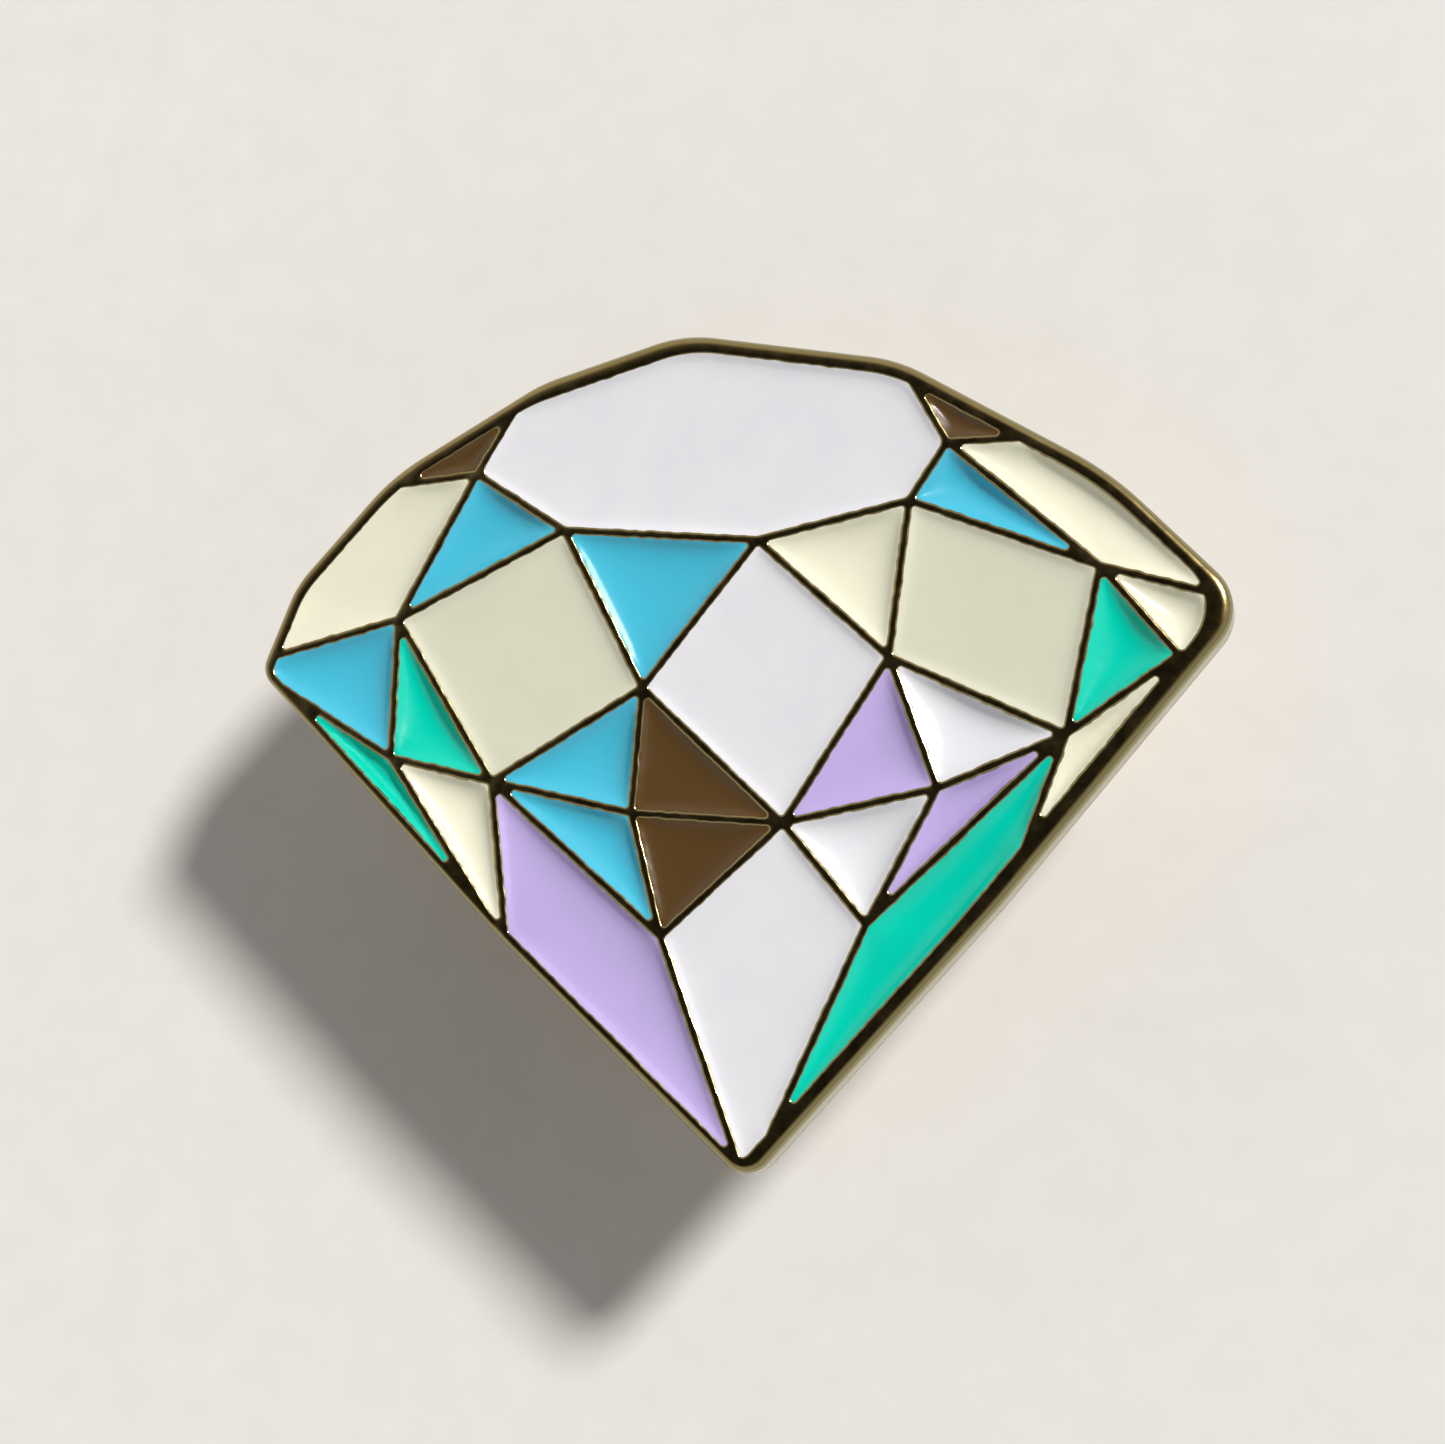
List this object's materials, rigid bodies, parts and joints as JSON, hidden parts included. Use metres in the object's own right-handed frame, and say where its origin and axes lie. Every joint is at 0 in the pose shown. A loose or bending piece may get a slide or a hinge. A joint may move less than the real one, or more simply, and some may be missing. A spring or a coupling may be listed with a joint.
{
  "type": "enamel pin",
  "caption": "Soft enamel pin in the shape of a cut gem, with raised metal lines between coloured facets, and posts held by butterfly clutches.",
  "frame": {"origin": "middle of the plate's outline, on its back face", "axes": "+Z out of the face, +Y to the flat top of the gem, +X to its right corner"},
  "size_m": [0.035, 0.0298, 0.0106],
  "materials": {
    "plated_plate": "polished gold plate",
    "enamel_white": "gloss soft enamel",
    "enamel_beige": "gloss soft enamel",
    "enamel_cream": "gloss soft enamel",
    "enamel_blue": "gloss soft enamel",
    "enamel_green": "gloss soft enamel",
    "enamel_brown": "gloss soft enamel",
    "enamel_lilac": "gloss soft enamel",
    "post_brass": "plain brass",
    "clutch_brass": "polished brass",
    "spring_steel": "satin spring steel"
  },
  "bodies": {
    "root": {"base_plate": "plated_plate", "enamel_table": "enamel_white", "enamel_brown_top_left": "enamel_brown", "enamel_brown_top_right": "enamel_brown", "enamel_cream_left": "enamel_cream", "enamel_cream_right": "enamel_cream", "enamel_star_left": "enamel_blue", "enamel_star_right": "enamel_blue", "enamel_star_middle": "enamel_blue", "enamel_star_cream": "enamel_cream", "enamel_kite_left": "enamel_beige", "enamel_kite_right": "enamel_beige", "enamel_kite_middle": "enamel_white", "enamel_girdle_blue_left": "enamel_blue", "enamel_girdle_green_left": "enamel_green", "enamel_girdle_green_right": "enamel_green", "enamel_corner_right": "enamel_cream", "enamel_sliver_left": "enamel_green", "enamel_cream_low_left": "enamel_cream", "enamel_girdle_blue_middle": "enamel_blue", "enamel_blue_low": "enamel_blue", "enamel_brown_middle": "enamel_brown", "enamel_brown_low": "enamel_brown", "enamel_lilac_middle": "enamel_lilac", "enamel_girdle_white": "enamel_white", "enamel_lilac_small": "enamel_lilac", "enamel_white_low": "enamel_white", "enamel_green_long": "enamel_green", "enamel_sliver_right": "enamel_cream", "enamel_lilac_long": "enamel_lilac", "enamel_white_long": "enamel_white", "post_left": "post_brass", "post_right": "post_brass"},
    "clutch_left": {"clutch_left_cup": "clutch_brass", "clutch_left_cover": "clutch_brass", "clutch_left_spring": "spring_steel"},
    "clutch_left_wing_front": {"clutch_left_wing_front": "clutch_brass"},
    "clutch_left_wing_rear": {"clutch_left_wing_rear": "clutch_brass"},
    "clutch_right": {"clutch_right_cup": "clutch_brass", "clutch_right_cover": "clutch_brass", "clutch_right_spring": "spring_steel"},
    "clutch_right_wing_front": {"clutch_right_wing_front": "clutch_brass"},
    "clutch_right_wing_rear": {"clutch_right_wing_rear": "clutch_brass"}
  },
  "joints": [
    {"name": "clutch_left_slide", "type": "slide", "parent": "root", "child": "clutch_left", "axis": [0, 0, -1], "range_m": [0, 0.016]},
    {"name": "clutch_left_wing_front_hinge", "type": "hinge", "parent": "clutch_left", "child": "clutch_left_wing_front", "pos_m": [-0.0075, 0.0013, -0.00529], "axis": [1, 0, 0], "range_deg": [0, 12], "stiffness_Nm_per_rad": 0.012, "springref_deg": -20.05, "deforming": ["clutch_left_spring"]},
    {"name": "clutch_left_wing_rear_hinge", "type": "hinge", "parent": "clutch_left", "child": "clutch_left_wing_rear", "pos_m": [-0.0075, 0.0057, -0.00529], "axis": [-1, 0, 0], "range_deg": [0, 12], "stiffness_Nm_per_rad": 0.012, "springref_deg": -20.05},
    {"name": "clutch_right_slide", "type": "slide", "parent": "root", "child": "clutch_right", "axis": [0, 0, -1], "range_m": [0, 0.016]},
    {"name": "clutch_right_wing_front_hinge", "type": "hinge", "parent": "clutch_right", "child": "clutch_right_wing_front", "pos_m": [0.0075, 0.0013, -0.00529], "axis": [1, 0, 0], "range_deg": [0, 12], "stiffness_Nm_per_rad": 0.012, "springref_deg": -20.05, "deforming": ["clutch_right_spring"]},
    {"name": "clutch_right_wing_rear_hinge", "type": "hinge", "parent": "clutch_right", "child": "clutch_right_wing_rear", "pos_m": [0.0075, 0.0057, -0.00529], "axis": [-1, 0, 0], "range_deg": [0, 12], "stiffness_Nm_per_rad": 0.012, "springref_deg": -20.05}
  ],
  "couplings": [
    {"joint": "clutch_left_wing_rear_hinge", "follows": "clutch_left_wing_front_hinge", "ratio": 1},
    {"joint": "clutch_right_wing_rear_hinge", "follows": "clutch_right_wing_front_hinge", "ratio": 1}
  ]
}
